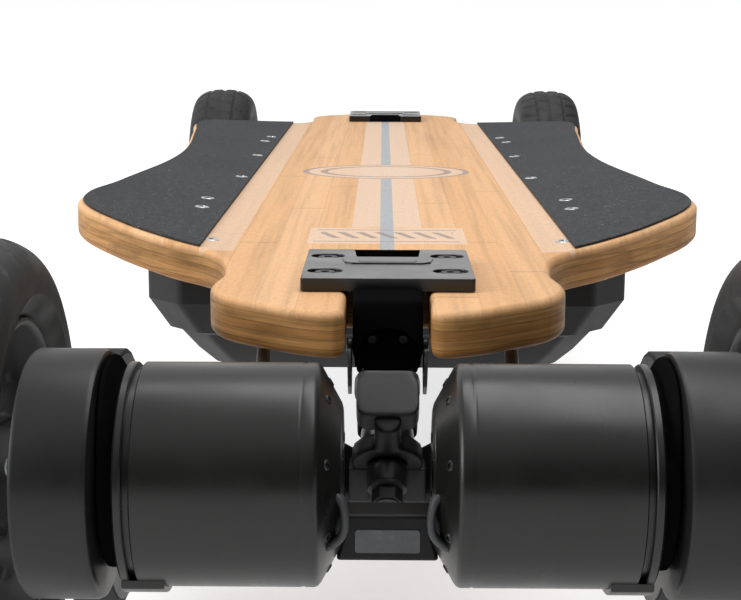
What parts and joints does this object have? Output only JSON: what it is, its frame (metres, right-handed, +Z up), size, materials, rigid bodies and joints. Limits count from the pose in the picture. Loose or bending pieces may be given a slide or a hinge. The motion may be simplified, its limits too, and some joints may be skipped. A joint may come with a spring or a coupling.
{
  "type": "electric skateboard",
  "caption": "Electric skateboard: wide concave bamboo deck with grip wings, double-kingpin trucks, air tyres, belt-driven rear motors and an enclosure under the deck.",
  "frame": {"origin": "below the centre of the whole board's bounding box, on the ground plane under the tyres", "axes": "+Y points to the front, undriven truck; +X to the rider's right when facing +Y; +Z up"},
  "size_m": [0.366, 1.1464, 0.175],
  "materials": {
    "bamboo": "clear-coated laminated bamboo",
    "grip_tape": "coarse black abrasive sheet",
    "shell": "matte moulded shell",
    "seal_rubber": "soft black seal",
    "battery_wrap": "heat-shrink wrap",
    "controller_case": "black anodised case",
    "port_plastic": "moulded socket",
    "button_plastic": "moulded button",
    "truck_metal": "satin black coated casting",
    "axle_steel": "ground steel",
    "bolt_steel": "black oxide steel",
    "urethane": "cast urethane",
    "tyre_rubber": "moulded tyre rubber",
    "hub_plastic": "glass-filled nylon",
    "bearing_steel": "polished steel",
    "gear_plastic": "moulded nylon",
    "motor_metal": "satin black anodised can",
    "copper": "varnished copper winding",
    "rotor_steel": "ground steel",
    "pulley_steel": "machined steel",
    "belt_rubber": "moulded belt rubber",
    "cover_plastic": "matte moulded cover",
    "cable_sleeve": "braided sleeve over rubber"
  },
  "bodies": {
    "deck_body": {"deck": "bamboo", "grip_left": "grip_tape", "grip_right": "grip_tape", "enclosure": "shell", "enclosure_gasket": "seal_rubber", "battery_pack": "battery_wrap", "motor_controller": "controller_case", "charge_port": "port_plastic", "left_motor_cable": "cable_sleeve", "right_motor_cable": "cable_sleeve", "rear_truck_plate": "truck_metal", "rear_upper_kingpin": "bolt_steel", "rear_upper_bushing_inner": "urethane", "rear_upper_bushing_outer": "urethane", "front_truck_plate": "truck_metal", "front_upper_kingpin": "bolt_steel", "front_upper_bushing_inner": "urethane", "front_upper_bushing_outer": "urethane"},
    "power_button_body": {"power_button": "button_plastic"},
    "rear_link_body": {"rear_truck_link": "truck_metal", "rear_lower_kingpin": "bolt_steel", "rear_lower_bushing_inner": "urethane", "rear_lower_bushing_outer": "urethane"},
    "rear_hanger_body": {"rear_hanger": "truck_metal", "rear_axle": "axle_steel", "left_motor_mount": "truck_metal", "left_motor_can": "motor_metal", "left_stator": "copper", "left_belt": "belt_rubber", "left_belt_cover": "cover_plastic", "right_motor_mount": "truck_metal", "right_motor_can": "motor_metal", "right_stator": "copper", "right_belt": "belt_rubber", "right_belt_cover": "cover_plastic", "motor_brace": "truck_metal"},
    "rear_left_wheel_body": {"rear_left_tyre": "tyre_rubber", "rear_left_hub": "hub_plastic", "rear_left_bearing": "bearing_steel", "rear_left_drive_gear": "gear_plastic"},
    "rear_right_wheel_body": {"rear_right_tyre": "tyre_rubber", "rear_right_hub": "hub_plastic", "rear_right_bearing": "bearing_steel", "rear_right_drive_gear": "gear_plastic"},
    "front_link_body": {"front_truck_link": "truck_metal", "front_lower_kingpin": "bolt_steel", "front_lower_bushing_inner": "urethane", "front_lower_bushing_outer": "urethane"},
    "front_hanger_body": {"front_hanger": "truck_metal", "front_axle": "axle_steel"},
    "front_left_wheel_body": {"front_left_tyre": "tyre_rubber", "front_left_hub": "hub_plastic", "front_left_bearing": "bearing_steel"},
    "front_right_wheel_body": {"front_right_tyre": "tyre_rubber", "front_right_hub": "hub_plastic", "front_right_bearing": "bearing_steel"},
    "left_rotor_body": {"left_rotor": "rotor_steel", "left_motor_pulley": "pulley_steel"},
    "right_rotor_body": {"right_rotor": "rotor_steel", "right_motor_pulley": "pulley_steel"}
  },
  "joints": [
    {"name": "rear_upper_steer", "type": "hinge", "parent": "deck_body", "child": "rear_link_body", "pos_m": [0, -0.4424, 0.114], "axis": [0, -0.7071, 0.7071], "range_deg": [-8, 8], "stiffness_Nm_per_rad": 90, "deforming": ["rear_upper_bushing_inner", "rear_upper_bushing_outer", "left_motor_cable", "right_motor_cable"]},
    {"name": "rear_lower_steer", "type": "hinge", "parent": "rear_link_body", "child": "rear_hanger_body", "pos_m": [0, -0.4864, 0.1], "axis": [0, -0.7071, 0.7071], "range_deg": [-8, 8], "stiffness_Nm_per_rad": 90, "deforming": ["rear_lower_bushing_inner", "rear_lower_bushing_outer", "left_motor_cable", "right_motor_cable"]},
    {"name": "rear_left_wheel_spin", "type": "hinge", "parent": "rear_hanger_body", "child": "rear_left_wheel_body", "pos_m": [-0.155, -0.4692, 0.0875], "axis": [1, 0, 0], "continuous": true},
    {"name": "rear_right_wheel_spin", "type": "hinge", "parent": "rear_hanger_body", "child": "rear_right_wheel_body", "pos_m": [0.155, -0.4692, 0.0875], "axis": [1, 0, 0], "continuous": true},
    {"name": "front_upper_steer", "type": "hinge", "parent": "deck_body", "child": "front_link_body", "pos_m": [0, 0.4589, 0.114], "axis": [0, 0.7071, 0.7071], "range_deg": [-8, 8], "stiffness_Nm_per_rad": 90, "deforming": ["front_upper_bushing_inner", "front_upper_bushing_outer"]},
    {"name": "front_lower_steer", "type": "hinge", "parent": "front_link_body", "child": "front_hanger_body", "pos_m": [0, 0.5029, 0.1], "axis": [0, 0.7071, 0.7071], "range_deg": [-8, 8], "stiffness_Nm_per_rad": 90, "deforming": ["front_lower_bushing_inner", "front_lower_bushing_outer"]},
    {"name": "front_left_wheel_spin", "type": "hinge", "parent": "front_hanger_body", "child": "front_left_wheel_body", "pos_m": [-0.155, 0.4857, 0.0875], "axis": [1, 0, 0], "continuous": true},
    {"name": "front_right_wheel_spin", "type": "hinge", "parent": "front_hanger_body", "child": "front_right_wheel_body", "pos_m": [0.155, 0.4857, 0.0875], "axis": [1, 0, 0], "continuous": true},
    {"name": "left_rotor_spin", "type": "hinge", "parent": "rear_hanger_body", "child": "left_rotor_body", "pos_m": [-0.05, -0.5332, 0.1084], "axis": [1, 0, 0], "continuous": true},
    {"name": "right_rotor_spin", "type": "hinge", "parent": "rear_hanger_body", "child": "right_rotor_body", "pos_m": [0.05, -0.5332, 0.1084], "axis": [1, 0, 0], "continuous": true},
    {"name": "power_button_press", "type": "slide", "parent": "deck_body", "child": "power_button_body", "axis": [1, 0, 0], "range_m": [0, 0.0012], "stiffness_N_per_m": 800}
  ],
  "couplings": [
    {"joint": "left_rotor_spin", "follows": "rear_left_wheel_spin", "ratio": 3.6},
    {"joint": "right_rotor_spin", "follows": "rear_right_wheel_spin", "ratio": 3.6}
  ]
}
